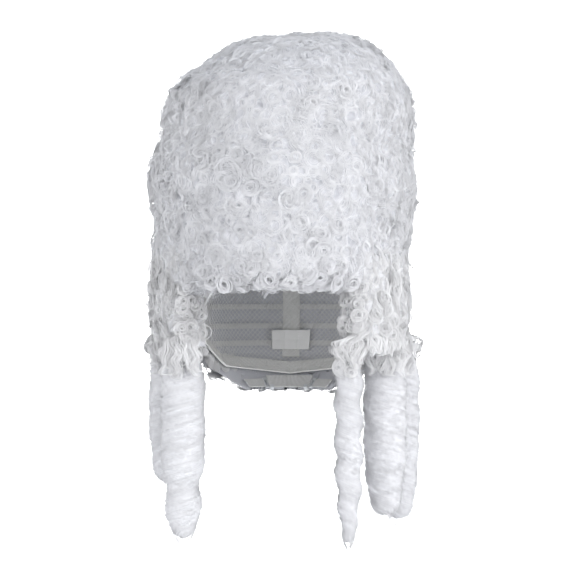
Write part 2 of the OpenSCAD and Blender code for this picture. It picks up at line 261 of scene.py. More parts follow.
def run_and_width(nt, way):
    """Metres along and across a tape: round the head, over it from front to back, or from side to side."""
    axes = nt.nodes.new("ShaderNodeSeparateXYZ")
    nt.links.new(nt.nodes.new("ShaderNodeTexCoord").outputs["Object"], axes.inputs[0])
    x, y, z = axes.outputs
    high = math_node(nt, "ADD", z, HEAD[2] * MM)
    # the two axes of the run, its radius in metres, and the axis of the width
    first, second, radius, width = {"round": (x, y, 0.087, z), "front_to_back": (y, high, 0.095, x),
                                    "side_to_side": (x, high, 0.085, y)}[way]
    return math_node(nt, "MULTIPLY", math_node(nt, "ARCTAN2", first, second), radius), width


def weave_material(name, dark, light, pitch, way="round", rough=0.8, strength=0.5):
    """Woven tape: warp and weft threads along its run and across its width."""
    m, nt, b = material(name, rough, Sheen_Weight=0.25)
    run, width = run_and_width(nt, way)
    thread = half_up(nt, math_node(nt, "MULTIPLY", waves(nt, run, pitch), waves(nt, width, pitch)))
    tone = blend(nt, thread, 0.7, noise_node(nt, 300, 2), 0.3)
    paint(nt, b, tone, (0.2, dark), (0.8, light))
    bump(nt, b, tone, strength, 0.0006)
    return m


def ribbed_material(name, dark, light, pitch):
    """Ribs across the run, as on elastic and on the sewn heads of the hair in a row of wefting."""
    m, nt, b = material(name, 0.7, Sheen_Weight=0.25)
    rib = half_up(nt, waves(nt, run_and_width(nt, "round")[0], pitch))
    tone = blend(nt, rib, 0.65, noise_node(nt, 350), 0.35)
    paint(nt, b, tone, (0.2, dark), (0.8, light))
    bump(nt, b, tone, 0.7, 0.0008)
    return m


def wire_material(name, dark, light):
    m, nt, b = material(name, 0.35, Metallic=1.0)
    tone = noise_node(nt, 260)
    paint(nt, b, tone, (0.3, dark), (0.7, light))
    rough = nt.nodes.new("ShaderNodeMapRange")
    rough.inputs["To Min"].default_value = 0.28
    rough.inputs["To Max"].default_value = 0.5
    nt.links.new(tone, rough.inputs["Value"])
    nt.links.new(rough.outputs[0], b.inputs["Roughness"])
    return m


def plastic_material(name, dark, light):
    m, nt, b = material(name, 0.3, Specular_IOR_Level=0.5, Transmission_Weight=0.25)
    tone = noise_node(nt, 180, 4)
    paint(nt, b, tone, (0.3, dark), (0.7, light))
    bump(nt, b, tone, 0.15, 0.0004)
    return m


HAIR = fibre_material("white_curls", (0.885, 0.892, 0.93), (0.915, 0.921, 0.952), (0.945, 0.949, 0.97))
# a lighter copy of the curl material, for the side hair and the curls and locks round the ringlets' loops: painted
# light that lifts the shade falling there
HAIR_PAINTED_LIGHTER = fibre_material("white_side_curls", (0.945, 0.949, 0.972), (0.965, 0.967, 0.98), (0.985, 0.985, 0.99))
SOFT = fibre_material("white_ringlet", (0.82, 0.826, 0.865), (0.875, 0.88, 0.91), (0.92, 0.923, 0.943))
# the packed fibre under the loose strands is painted much darker than they are: painted shade for the depth between the
# strands
MASS_PAINTED_SHADE = combed_material("packed_fibre_painted_shade", (0.63, 0.638, 0.68), (0.71, 0.717, 0.755))
# the side hair's packed fibre is painted lighter than the rest of the packed fibre, painted light that lifts the shade
# falling on the sides; it stays darker than its strands, as painted shade between them
MASS_SIDE_LIGHTER_PAINTED_SHADE = combed_material("packed_side_fibre_lighter_painted_shade", (0.78, 0.787, 0.82), (0.85, 0.856, 0.885))
CORE = combed_material("ringlet_fibre", (0.80, 0.806, 0.845), (0.89, 0.894, 0.92))
COTTON = ((0.70, 0.70, 0.69), (0.90, 0.90, 0.88), 0.0011)
TAPE = weave_material("cotton_tape", *COTTON)
TAPE_OVER = weave_material("centre_tape_cotton", *COTTON, "front_to_back")
TAPE_ACROSS = weave_material("cross_tape_cotton", *COTTON, "side_to_side")
ELASTIC = ribbed_material("ribbed_elastic", (0.64, 0.64, 0.63), (0.90, 0.90, 0.89), 0.0015)
WEFT = ribbed_material("wefting", (0.72, 0.72, 0.73), (0.92, 0.92, 0.92), 0.0012)
SATIN = weave_material("satin_label", (0.84, 0.84, 0.83), (0.95, 0.95, 0.94), 0.0005, "round", 0.35, 0.15)
STIFF_NET = mass_material("stiff_net", (0.62, 0.62, 0.62), (0.86, 0.86, 0.85))
THREAD = mass_material("net_thread", (0.82, 0.82, 0.80), (0.94, 0.94, 0.92))
WIRE = wire_material("drawn_wire", (0.55, 0.55, 0.57), (0.80, 0.80, 0.82))
CLEAR = plastic_material("milky_plastic", (0.74, 0.76, 0.78), (0.86, 0.88, 0.90))

# ---------------------------------------------------------------- mesh building


def mesh_object(name, verts_mm, faces, mat, attributes=None, uv=None, normals=None):
    """A mesh object from arrays in mm; faces is one array of triangles or of quads."""
    me = bpy.data.meshes.new(name)
    verts = np.ascontiguousarray(verts_mm, float) * MM
    faces = np.ascontiguousarray(faces, np.int32)
    k = faces.shape[1]
    me.vertices.add(len(verts))
    me.vertices.foreach_set("co", verts.ravel())
    me.loops.add(faces.size)
    me.loops.foreach_set("vertex_index", faces.ravel())
    me.polygons.add(len(faces))
    me.polygons.foreach_set("loop_start", np.arange(0, faces.size, k, dtype=np.int32))
    me.polygons.foreach_set("use_smooth", np.full(len(faces), True))
    me.update(calc_edges=True)
    for key, values in (attributes or {}).items():
        at = me.attributes.new(key, "FLOAT", "POINT")
        at.data.foreach_set("value", np.ascontiguousarray(values, np.float32).ravel())
    if uv is not None:
        layer = me.uv_layers.new(name="OFBake")
        layer.data.foreach_set("uv", np.ascontiguousarray(uv[faces.ravel()], np.float32).ravel())
    if normals is not None:
        me.normals_split_custom_set_from_vertices(normals)
    me.materials.append(mat)
    ob = bpy.data.objects.new(name, me)
    bpy.context.scene.collection.objects.link(ob)
    return ob


def piece(ob, body, slot, *nodes):
    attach(ob, body)
    if nodes:
        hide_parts(*nodes)
    return ob


def hair(ob, *nodes, body=ROOT):
    return piece(ob, body, "white_fibre_hair", *nodes)


def tubes(paths, radius, sides=3):
    """Closed tubes along paths (strands, points, 3): verts, triangles and the way each vert faces."""
    count, n, _ = paths.shape
    tangent = np.gradient(paths, axis=1)
    tangent /= np.linalg.norm(tangent, axis=2, keepdims=True) + 1e-12
    side = np.cross(tangent[:, 0], np.array([1e-3, 1e-3, 1.001]))
    side /= np.linalg.norm(side, axis=1, keepdims=True) + 1e-9
    across = np.zeros_like(paths)
    for i in range(n):
        side = side - (side * tangent[:, i]).sum(1, keepdims=True) * tangent[:, i]
        side /= np.linalg.norm(side, axis=1, keepdims=True) + 1e-9
        across[:, i] = side
    other = np.cross(tangent, across)
    ang = np.arange(sides) / sides * 2 * PI
    out = (np.cos(ang)[None, None, :, None] * across[:, :, None, :]
           + np.sin(ang)[None, None, :, None] * other[:, :, None, :])
    v = paths[:, :, None, :] + radius[:, :, None, None] * out
    base = (np.arange(count) * n * sides)[:, None, None]
    i = np.arange(n - 1)[None, :, None] * sides
    k = np.arange(sides)[None, None, :]
    k2 = (k + 1) % sides
    a, b, c, d = base + i + k, base + i + k2, base + i + sides + k2, base + i + sides + k
    tris = np.concatenate([np.stack([a, b, c], -1).reshape(-1, 3), np.stack([a, c, d], -1).reshape(-1, 3)])
    first = np.arange(count) * n * sides
    last = first + (n - 1) * sides
    caps = []
    for j in range(1, sides - 1):
        caps.append(np.stack([first, first + j + 1, first + j], -1))
        caps.append(np.stack([last, last + j, last + j + 1], -1))
    return v.reshape(-1, 3), np.concatenate([tris] + caps), out.reshape(-1, 3)


SOFTEN = 0.92  # how far a strand is shaded as part of the hair around it, rather than as a wire


def strand_object(name, strands, mat):
    """One object from groups of (paths, radius, shade, facing), with a map cell for each strand."""
    verts, faces, shades, uvs, normals = [], [], [], [], []
    total = sum(len(group[0]) for group in strands)
    cells = int(math.ceil(math.sqrt(total)))
    done, offset = 0, 0
    for paths, radius, shade, facing in strands:
        count, n, _ = paths.shape
        v, f, out = tubes(paths, radius)
        verts.append(v)
        faces.append(f + offset)
        offset += len(v)
        shades.append(np.repeat(shade.reshape(-1), 3))
        normals.append(unit((1 - SOFTEN) * out + SOFTEN * np.repeat(facing.reshape(-1, 3), 3, axis=0)))
        ids = done + np.arange(count)
        col, row = ids % cells, ids // cells
        u = (col[:, None, None] + np.array([0.3, 0.5, 0.7])[None, None, :]) / cells + np.zeros((count, n, 3))
        w = (row[:, None, None] + 0.15 + 0.7 * np.linspace(0, 1, n)[None, :, None]) / cells
        uvs.append(np.stack([u.ravel(), (w + np.zeros((count, n, 3))).ravel()], -1))
        done += count
    return mesh_object(name, np.concatenate(verts), np.concatenate(faces), mat,
                       {"shade": np.concatenate(shades)}, np.concatenate(uvs), np.concatenate(normals))


def grid_faces(nu, nv, wrap=False):
    """Quads of a grid of nu by nv points, rows in v, closed in u if wrap."""
    i = np.arange(nu if wrap else nu - 1)[None, :]
    j = np.arange(nv - 1)[:, None] * nu
    i2 = (i + 1) % nu
    return np.stack([j + i, j + i2, j + nu + i2, j + nu + i], -1).reshape(-1, 4)


def wall(fine, coarse, flip):
    """Triangles between a fine edge and the coarse edge opposite it."""
    step = (len(fine) - 1) // (len(coarse) - 1)
    tris = []
    for g in range(len(coarse) - 1):
        for q in range(step):
            near = coarse[g] if q < step // 2 else coarse[g + 1]
            tris.append((fine[g * step + q], fine[g * step + q + 1], near))
        tris.append((fine[g * step + step // 2], coarse[g + 1], coarse[g]))
    tris = np.array(tris)
    return tris[:, ::-1] if flip else tris


COARSE = 4  # points of a hair block's outside to one on its inside


def slab(outer, inner):
    """A closed solid between a fine grid (nv, nu, 3) that faces out and a coarse grid behind it."""
    nv, nu, _ = outer.shape
    cv, cu, _ = inner.shape
    front, back = grid_faces(nu, nv), grid_faces(cu, cv)[:, ::-1] + nu * nv
    quads = [np.concatenate([q[:, [0, 1, 2]], q[:, [0, 2, 3]]]) for q in (front, back)]
    f = np.arange(nu * nv).reshape(nv, nu)
    c = np.arange(cu * cv).reshape(cv, cu) + nu * nv
    walls = [wall(f[0], c[0], True), wall(f[-1], c[-1], False),
             wall(f[:, 0], c[:, 0], False), wall(f[:, -1], c[:, -1], True)]
    return np.concatenate([outer.reshape(-1, 3), inner.reshape(-1, 3)]), np.concatenate(quads + walls)


def capped(rings, low, high):
    """A closed solid of rings (nv, nu, 3) from low to high, closed by a point at each end."""
    nv, nu, _ = rings.shape
    quads = grid_faces(nu, nv, True)
    i = np.arange(nu)
    j = (i + 1) % nu
    last = (nv - 1) * nu
    tris = np.concatenate([quads[:, [0, 1, 2]], quads[:, [0, 2, 3]], np.stack([j, i, np.full(nu, nu * nv)], -1),
                           np.stack([last + i, last + j, np.full(nu, nu * nv + 1)], -1)])
    return np.concatenate([rings.reshape(-1, 3), [low, high]]), tris


def smooth01(t):
    t = np.clip(t, 0, 1)
    return t * t * (3 - 2 * t)


def unit(v):
    return v / (np.linalg.norm(v, axis=-1, keepdims=True) + 1e-9)


def grow(v):
    """One value for each lock, made to spread over its strands and their points."""
    return v[:, None, None]


def as_group(path, radius, shade, facing):
    """The strands of many locks as one list of strands."""
    flat = lambda v: v.reshape(-1, *v.shape[2:])
    return flat(path), flat(radius), np.clip(flat(shade + 0 * radius), 0, 1), flat(np.broadcast_to(facing, path.shape))


def taper(t, ends):
    """Thickness along a strand, from ends at its root to 1 in the middle."""
    return ends + (1 - ends) * np.sin(PI * np.clip(t * 0.86 + 0.12, 0, 1))


def uneven_width(count):
    return rng.uniform(0.7, 1.25, (*count, 1))


# ---------------------------------------------------------------- locks of hair over the whole wig
EDGE_RUN = 15.0    # the hair starts to roll in this far from its free edges
ROLL_FRINGE, ROLL_FACE, ROLL_SIDE, ROLL_NAPE = 14.0, 22.0, 5.0, 10.0  # and rolls in by this much
INSET = 2.6        # the locks' feet lie this far inside the outline
GAP = 9.6          # from one lock to the next


def signed(a):
    """An angle in degrees, brought to -180 to 180."""
    return (np.asarray(a) + 180) % 360 - 180


def over_face(a):
    return (a > FACE_RIGHT) & (a < FACE_LEFT)


def fringe_edge(a):
    return FRINGE_Z - 12 * (np.abs(a) / 50) ** 4 + 3


def nape_edge(a):
    return NAPE_Z + 15 * (1 - np.clip((np.abs(signed(a)) - SIDE_BACK) / 20, 0, 1))


def edge_distance(a, z, parts=False):
    """Distance in mm from a place on the hair to the nearest free edge, negative outside the hair.

    With parts, the distances to the edge below, to the face opening and to the end of the side hair.
    """
    a = signed(a)
    in_face, at_back = over_face(a), np.abs(a) > SIDE_BACK
    below = z - np.where(in_face, fringe_edge(a), np.where(at_back, nape_edge(a), SIDE_Z + 2))
    past_face = np.where(a > 0, a - FACE_LEFT, FACE_RIGHT - a) * 2.0 + 3 * np.maximum(0, z + 66)
    past_face = np.where(in_face, 99, past_face)
    past_side = np.where(at_back, (np.abs(a) - SIDE_BACK) * 1.9 + 3 * np.maximum(0, z + 126), 99)
    if parts:
        return below, past_face, past_side
    return np.minimum(np.minimum(below, past_face), past_side)


def scatter(gap, jitter=0.27):
    """Angles and runs of roots about gap apart, over the whole of the hair."""
    a_all, s_all = [], []
    rows = int(S_END / gap)
    for j in range(rows):
        s = (j + 0.5) * S_END / rows
        count = max(1, int(round(2 * PI * r_at(s) / gap)))
        a = (np.arange(count) + (j % 2) / 2 + jitter * rng.normal(0, 1, count)) * 360 / count
        a_all.append(a)
        s_all.append(s + rng.normal(0, jitter, count) * gap)
    a, s = np.concatenate(a_all), np.clip(np.concatenate(s_all), 0, S_END - 2)
    keep = edge_distance(a, z_at(s)) > -2
    return signed(a[keep]), s[keep]


lock_a, lock_s = scatter(GAP)
LOCKS = len(lock_a)
lock_z = z_at(lock_s)
lock_p, _, lock_e, lock_u = surface(lock_a, lock_s)
lock_r = r_at(lock_s)

in_fringe = over_face(lock_a) & (lock_z < -34)
ring_share = 0.42 + 0.16 * ((lock_a > -110) & (lock_a < 25)) - 0.14 * ((lock_a > 25) & (lock_a < 130))
ring_share = np.where(lock_z > 125, 0.28, ring_share)
ring_share = np.where(in_fringe, 0.85, ring_share)
draw = rng.uniform(0, 1, LOCKS)
RING, COIL, WAVE = 0, 1, 2
lock_kind = np.where(draw < ring_share, RING, np.where(draw < ring_share + 0.16, COIL, WAVE))
lock_size = rng.uniform(5.5, 11.5, LOCKS) + np.where(in_fringe, 1.5, 0)
lock_turn = -PI / 2 + 1.3 * flow(lock_p, 46.0) + 0.55 * rng.normal(0, 1, LOCKS)
lock_turn = np.where(lock_z > 122, lock_turn + PI / 2, lock_turn)
lock_hand = rng.choice([-1.0, 1.0], LOCKS)
lock_base = rng.normal(0, 0.55, LOCKS)
lock_tone = np.clip(0.5 + 0.12 * rng.normal(0, 1, LOCKS), 0, 1)
lock_phase = rng.uniform(0, 2 * PI, LOCKS)
lock_wave = rng.uniform(14, 21, LOCKS)

# the locks pressed into one map of the hair, by angle and by run up from the nape
A_STEP, S_STEP = 0.4, 0.8
map_a, map_s = np.meshgrid(np.arange(0, 360, A_STEP), np.arange(0, S_END, S_STEP))
map_p, _, _, _ = surface(map_a, map_s)
ROWS, COLS = map_a.shape
map_h = np.full((ROWS, COLS), -1.5)
map_comb = map_s.copy()
# cells that no lock covers lie lowest and keep this darker tone: painted shade in the hollows between locks
map_tone = np.full((ROWS, COLS), 0.35)
GROOVE = 3.0  # from one groove of a combed lock to the next


def press(i):
    """Lays lock i over the map wherever it stands above what is there already."""
    size, kind = lock_size[i], lock_kind[i]
    reach = size * (1.0, 1.5, 2.3)[kind]
    half = int(np.degrees(reach / max(lock_r[i] - reach * 0.5, 3)) / A_STEP) + 1
    cols = np.arange(COLS) if half * 2 >= COLS else (int(lock_a[i] / A_STEP) + np.arange(-half, half + 1)) % COLS
    rows = np.arange(max(0, int((lock_s[i] - reach) / S_STEP)), min(ROWS, int((lock_s[i] + reach) / S_STEP) + 2))
    at = np.ix_(rows, cols)
    off = map_p[at] - lock_p[i]
    x, y = off @ lock_e[i], off @ lock_u[i]
    c, s = math.cos(lock_turn[i]), math.sin(lock_turn[i])
    along, across = x * c + y * s, -x * s + y * c
    if kind == RING:
        phi = np.arctan2(across, along) + lock_phase[i]
        rho = np.hypot(along, across) / size * (1 + 0.09 * np.sin(2 * phi))
        rise = np.sqrt(np.clip(1 - rho ** 2, 0, 1)) - 0.75 * np.exp(-(rho / 0.3) ** 2)
        comb = rho * size + lock_hand[i] * phi / (2 * PI) * GROOVE
        inside = rho < 1
    elif kind == COIL:
        w = across / (size * 0.5)
        turn = size * 0.75
        inside = (np.abs(w) < 1) & (np.abs(along) < reach)
        rise = np.sqrt(np.clip(1 - w ** 2, 0, 1)) * (0.75 + 0.25 * np.cos(2 * PI * (along / turn + 0.3 * w)))
        comb = along + 0.5 * across
    else:
        mid = 0.3 * size * np.sin(2 * PI * along / lock_wave[i] + lock_phase[i])
        width = 0.46 * size * np.sqrt(np.clip(1.02 - (along / reach) ** 2, 0.05, 1))
        w = (across - mid) / width
        inside = (np.abs(w) < 1) & (np.abs(along) < reach)
        rise = np.sqrt(np.clip(1 - w ** 2, 0, 1)) * 0.9
        comb = across - mid
    h = lock_base[i] + 0.17 * size * rise
    over = inside & (h > map_h[at])
    map_h[at] = np.where(over, h, map_h[at])
    map_comb[at] = np.where(over, comb, map_comb[at])
    map_tone[at] = np.where(over, lock_tone[i], map_tone[at])


for index in range(LOCKS):
    press(index)


def blurred(v):
    """v softened by a cell each way; it wraps round the head."""
    v = 0.25 * np.roll(v, 1, 1) + 0.5 * v + 0.25 * np.roll(v, -1, 1)
    tall = np.concatenate([v[:1], v, v[-1:]])
    return 0.25 * tall[:-2] + 0.5 * tall[1:-1] + 0.25 * tall[2:]


roll = np.where(over_face(signed(map_a)), ROLL_FRINGE,
                np.where(np.abs(signed(map_a)) > SIDE_BACK, ROLL_NAPE, ROLL_SIDE))
for _ in range(12):
    roll = blurred(roll)
roll_in = 0
for amount, free in zip((roll, ROLL_FACE, ROLL_SIDE), edge_distance(map_a, z_at(map_s), True)):
    roll_in = np.maximum(roll_in, amount * (1 - np.sqrt(1 - (1 - np.clip(free / EDGE_RUN, 0, 1)) ** 2)))
lumps = (3.2 * noise(map_p, 40.0) + 1.8 * noise(map_p + 50, 17.0)) * np.clip((S_END - map_s) / 25, 0, 1)
map_h = blurred(map_h) + 0.18 * np.cos(2 * PI / GROOVE * map_comb) + lumps - INSET - roll_in


def height(a, s):
    """Height of the pressed locks at angle a and run s, between the map's own points."""
    fa, fs = (a % 360) / A_STEP, np.clip(s / S_STEP, 0, ROWS - 1.001)
    ia, js = np.floor(fa).astype(int), np.floor(fs).astype(int)
    ta, ts = fa - ia, fs - js
    ia, ib = ia % COLS, (ia + 1) % COLS
    return ((1 - ts) * ((1 - ta) * map_h[js, ia] + ta * map_h[js, ib])
            + ts * ((1 - ta) * map_h[js + 1, ia] + ta * map_h[js + 1, ib]))


def nearest(field, a, s):
    return field[np.clip((s / S_STEP + 0.5).astype(int), 0, ROWS - 1), ((a % 360) / A_STEP + 0.5).astype(int) % COLS]


# ---------------------------------------------------------------- packed hair
PACK_STEP = 1.05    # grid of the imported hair, in mm
CREST_FOOT = 120.8  # height of the crest's flat underside


def packed(name, node, a0, a1, low, high, inner, mat=MASS_PAINTED_SHADE):
    """A closed block of packed hair between two angles and two heights, on the inner surface given."""
    blocks = lambda length: int(length / PACK_STEP / COARSE) + 1
    nu = blocks(np.radians(a1 - a0) * 118) * COARSE + 1
    lowest = np.min(low(np.array([a0, a1, (a0 + a1) / 2])))
    nv = blocks(run_at(high) - run_at(lowest)) * COARSE + 1
    u, v = np.meshgrid(np.linspace(0, 1, nu), np.linspace(0, 1, nv))
    a = a0 + (a1 - a0) * u
    s0 = run_at(low(a))
    s = s0 + (run_at(high) - s0) * v
    p, n, _, _ = surface(a, s)
    outer = p + n * height(a, s)[..., None]
    ai, si = a[::COARSE, ::COARSE], s[::COARSE, ::COARSE]
    verts, tris = slab(outer, inner(ai, z_at(si)))
    comb = np.concatenate([nearest(map_comb, a, s).ravel(), ai.ravel() * 2.0])
    tone = np.concatenate([nearest(map_tone, a, s).ravel(), np.full(ai.size, 0.3)])
    hair(mesh_object(name, verts, tris, mat, {"comb": comb, "shade": tone}), node)


def tower_inside(a, z):
    """Just outside the net on the inner frame."""
    r = np.interp(z, [-60, 51, 121], [87.4, 87.4, 70.4])
    ar = np.radians(a)
    return np.stack([r * np.sin(ar), -r * np.cos(ar), z], -1)


def cap_inside(a, z):
    """Just outside the wefting; further out where the adjusters work."""
    return np.where((z < -130)[..., None], on_skin(a, z, 7.7), on_skin(a, z, 4.2))


def level(z):
    return lambda a: np.full_like(np.asarray(a, float), z)


for side, mid in (("front", 0), ("left", 90), ("back", 180), ("right", 270)):
    packed(f"packed_tower_{side}", f"tower_hair_{side}", mid - 45, mid + 45, level(TOWER_FOOT), TOWER_TOP, tower_inside)
for place, node, ends, low, mat in (
        ("fringe", "fringe_hair", (FACE_RIGHT, FACE_LEFT), fringe_edge, MASS_PAINTED_SHADE),
        ("side_left", "side_hair_left", (FACE_LEFT, SIDE_BACK), level(SIDE_Z + 2), MASS_SIDE_LIGHTER_PAINTED_SHADE),
        ("side_right", "side_hair_right", (-SIDE_BACK, FACE_RIGHT), level(SIDE_Z + 2), MASS_SIDE_LIGHTER_PAINTED_SHADE),
        ("nape", "nape_hair", (SIDE_BACK, 360 - SIDE_BACK), nape_edge, MASS_PAINTED_SHADE)):
    packed(f"packed_{place}", node, *ends, low, TOWER_FOOT, cap_inside, mat)


def packed_crest():
    """The closed dome on top of the tower."""
    nu, nv = 480, 118
    a, s = np.meshgrid(np.arange(nu) * 360 / nu, np.linspace(run_at(CREST_FOOT), S_END - 3, nv))
    p, n, _, _ = surface(a, s)
    outer = p + n * height(a, s)[..., None]
    foot = outer[:1].copy()
    foot[..., 2] = CREST_FOOT
    low, high = [float(lean(CREST_FOOT)), 0, CREST_FOOT], outer[-1].mean(0) + [0, 0, 0.2]
    verts, tris = capped(np.concatenate([foot, outer]), low, high)
    comb = np.concatenate([np.zeros(nu), nearest(map_comb, a, s).ravel(), np.zeros(2)])
    tone = np.concatenate([np.full(nu, 0.4), nearest(map_tone, a, s).ravel(), np.full(2, 0.4)])
    hair(mesh_object("packed_crest", verts, tris, MASS_PAINTED_SHADE, {"comb": comb, "shade": tone}), "tower_hair_top")


packed_crest()

# ---------------------------------------------------------------- loose strands of the locks
POINTS, STRANDS = 18, 9  # points of a strand, and strands of a lock
LOCK_STRAND, CURL_STRAND, FRIZZ_STRAND = 0.21, 0.22, 0.15  # radii
CREST_Z = 126.0          # above this a lock is laid out from the top of the crest
crest_s = np.linspace(run_at(112), S_END, 200)
crest_r = r_at(crest_s)


def drape(i, x, y, lift):
    """Points x to the left and y up from lock i's middle, lift above the pressed hair, and which way is out."""
    s = np.clip(grow(lock_s[i]) + y, 0, S_END - 0.5)
    a = grow(lock_a[i]) + np.degrees(x / np.maximum(r_at(s), 25))
    flat = grow(lock_p[i]) + grow(lock_e[i]) * x[..., None] + grow(lock_u[i]) * y[..., None]
    fx, fy = flat[..., 0] - lean(flat[..., 2]), flat[..., 1]
    top = np.broadcast_to(grow(lock_z[i]) > CREST_Z, s.shape)
    s = np.where(top, np.interp(np.hypot(fx, fy), crest_r[::-1], crest_s[::-1]), s)
    a = np.where(top, np.degrees(np.arctan2(fx, -fy)), a)
    p, n, _, _ = surface(a, s)
    return p + n * (height(a, s) + lift)[..., None], n


def ring_shape(i, t, k, jig):
    size, hand, start = (grow(v[i]) for v in (lock_size, lock_hand, lock_phase))
    turns = rng.uniform(1.0, 1.7, (len(i), 1, 1))
    shrink = rng.uniform(0.15, 0.4, (len(i), 1, 1))
    theta = start + hand * 2 * PI * turns * t * (1 + 0.05 * jig[0]) + 0.5 * jig[1]
    rho = size * (1 - shrink * t) * (0.74 + 0.42 * k + 0.05 * jig[2]) * (1 + 0.05 * np.sin(2 * theta))
    return rho * np.cos(theta), rho * np.sin(theta), 0 * rho


def coil_shape(i, t, k, jig):
    size, hand, start = (grow(v[i]) for v in (lock_size, lock_hand, lock_phase))
    theta = start + hand * 2 * PI * 3.2 * t + 0.2 * jig[0]
    along = (2 * t - 1) * 1.5 * size + k * size * 0.5 + 0.4 * jig[1]
    return along, 0.5 * size * np.cos(theta), 0.22 * size * np.sin(theta) - 0.2


def wave_shape(i, t, k, jig):
    size, wave, start = (grow(v[i]) for v in (lock_size, lock_wave, lock_phase))
    along = (2 * t - 1) * 2.2 * size * (1 + 0.08 * jig[0])
    swing = 0.3 * size * np.sin(2 * PI * along / wave + start)
    across = swing + 0.85 * k * size * (1 - 0.5 * t) + 0.3 * jig[1]
    return along, across, 0.5 * np.sin(2 * PI * along / wave + start + 1)


def strands_of(i, shape):
    """The loose strands of locks i, as paths, radii, shades and the way they face."""
    t = np.linspace(0, 1, POINTS)[None, None, :]
    k = np.linspace(-0.5, 0.5, STRANDS)[None, :, None]
    jig = rng.normal(0, 1, (5, len(i), STRANDS, 1))
    along, across, lift = shape(i, t, k, jig)
    stand = np.abs(jig[3]) * 0.38 + 0.1
    fly = np.where(jig[4] > 1.3, 3.0, -1.2) * smooth01((t - 0.8) / 0.2)
    lift = lift + stand - (stand + 1.0) * (1 - smooth01(t / 0.14)) + fly + 0.35 * np.sin(PI * t * 2 + 3 * jig[2])
    c, s = np.cos(grow(lock_turn[i])), np.sin(grow(lock_turn[i]))
    points, n = drape(i, along * c - across * s, along * s + across * c, lift)
    facing = unit(n + 0.1 * rng.normal(0, 1, (len(i), 1, 1, 3)))
    radius = LOCK_STRAND * taper(t, 0.4) * uneven_width((len(i), STRANDS))
    return as_group(points, radius, grow(lock_tone[i]) + 0.1 * jig[0], facing)


def chunked(name, groups, limit=1880, mat=HAIR):
    """Splits strands over pieces that each stay small enough to export whole."""
    joined = [np.concatenate([g[j] for g in groups]) for j in range(4)]
    order = np.argsort(-joined[0][:, 0, 2], kind="stable")
    parts = max(1, math.ceil(len(order) / limit))
    for j, ids in enumerate(np.array_split(order, parts)):
        label = name if parts == 1 else f"{name}_{j + 1}"
        hair(strand_object(label, [tuple(v[ids] for v in joined)], mat))


def frizz(gap):
    """Single fine hairs that arch a few millimetres off the locks, as one group for each place."""
    a, s = scatter(gap, 0.4)
    count, pts = len(a), 9
    t = np.linspace(0, 1, pts)[None, :]
    turn = rng.uniform(0, 2 * PI, (count, 1))
    length = rng.uniform(8, 24, (count, 1))
    bend = rng.uniform(-5, 5, (count, 1)) * np.sin(2 * PI * t * rng.uniform(0.5, 1.1, (count, 1)))
    run = (t - 0.5) * length
    x, y = run * np.cos(turn) - bend * np.sin(turn), run * np.sin(turn) + bend * np.cos(turn)
    p, n, e, u = surface(a, s)
    rise = rng.uniform(1.5, 6.0, (count, 1)) * np.sin(PI * t * rng.uniform(0.62, 1.0, (count, 1))) - 0.6
    path = p[:, None] + e[:, None] * x[..., None] + u[:, None] * y[..., None] + n[:, None] * (
        height(a, s)[:, None] + rise)[..., None]
    shade = np.clip(0.7 + 0.12 * rng.normal(0, 1, (count, 1)), 0, 1) + 0 * t
    return a, s, (path, np.full((count, pts), FRIZZ_STRAND), shade, np.broadcast_to(n[:, None], path.shape))


def place_of(a, z):
    """The name of the part of the hair at angles a and heights z."""
    quarter = np.array(["tower_front", "tower_left", "tower_back", "tower_right"])[((a + 45) % 360 // 90).astype(int)]
    low = np.where(over_face(a), "fringe",
                   np.where(np.abs(a) > SIDE_BACK, "nape", np.where(a > 0, "side_left", "side_right")))
    return np.where(z > TOWER_TOP, "crest", np.where(z > TOWER_FOOT, quarter, low))


# ---------------------------------------------------------------- curls on the cut faces of the hair


def free_rings(c, facing, size, strands=13, lit=None):
    """Ring curls with their middles at c, facing the way given, shaded as hair that faces lit."""
    count = len(c)
    m = unit(facing + 0.25 * rng.normal(0, 1, (count, 3)))
    d = rng.normal(0, 1, (count, 3))
    u = unit(d - (d * m).sum(-1, keepdims=True) * m)
    v = np.cross(m, u)
    t = np.linspace(0, 1, POINTS)[None, None, :]
    k = np.linspace(-0.5, 0.5, strands)[None, :, None]
    jig = rng.normal(0, 1, (5, count, strands, 1))
    turns = grow(rng.uniform(1.1, 1.7, count) * rng.choice([-1, 1], count))
    theta = grow(rng.uniform(0, 2 * PI, count)) + turns * 2 * PI * t * (1 + 0.1 * jig[0]) + 0.6 * jig[1]
    rho = grow(size) * (1 - grow(rng.uniform(0.1, 0.35, count)) * t) * (0.68 + 0.64 * k + 0.06 * jig[2])
    rho = rho * (1 + 0.12 * np.sin(2 * theta + jig[3]))
    lift = (0.6 * jig[3] + 1.8 * (0.5 - k) + 1.2 * t + 0.2 * rho * jig[4] * np.cos(theta)
            - 4.0 * (1 - smooth01(t / 0.12)))
    across = rho * np.cos(theta) + grow(size) * 0.1 * jig[4]
    up = rho * np.sin(theta) + grow(size) * 0.1 * jig[0]
    p = grow(c) + grow(m) * lift[..., None] + grow(u) * across[..., None] + grow(v) * up[..., None]
    radius = CURL_STRAND * taper(t, 0.5) * uneven_width((count, strands))
    shade = 0.55 + 0.15 * rng.normal(0, 1, (count, 1, 1)) + 0.12 * jig[1]
    return as_group(p, radius, shade, grow(m if lit is None else unit(m + 2.0 * lit)))


def spread(lo, hi, gap):
    count = max(1, int(round((hi - lo) / gap)))
    return lo + (np.arange(count) + 0.5) * (hi - lo) / count


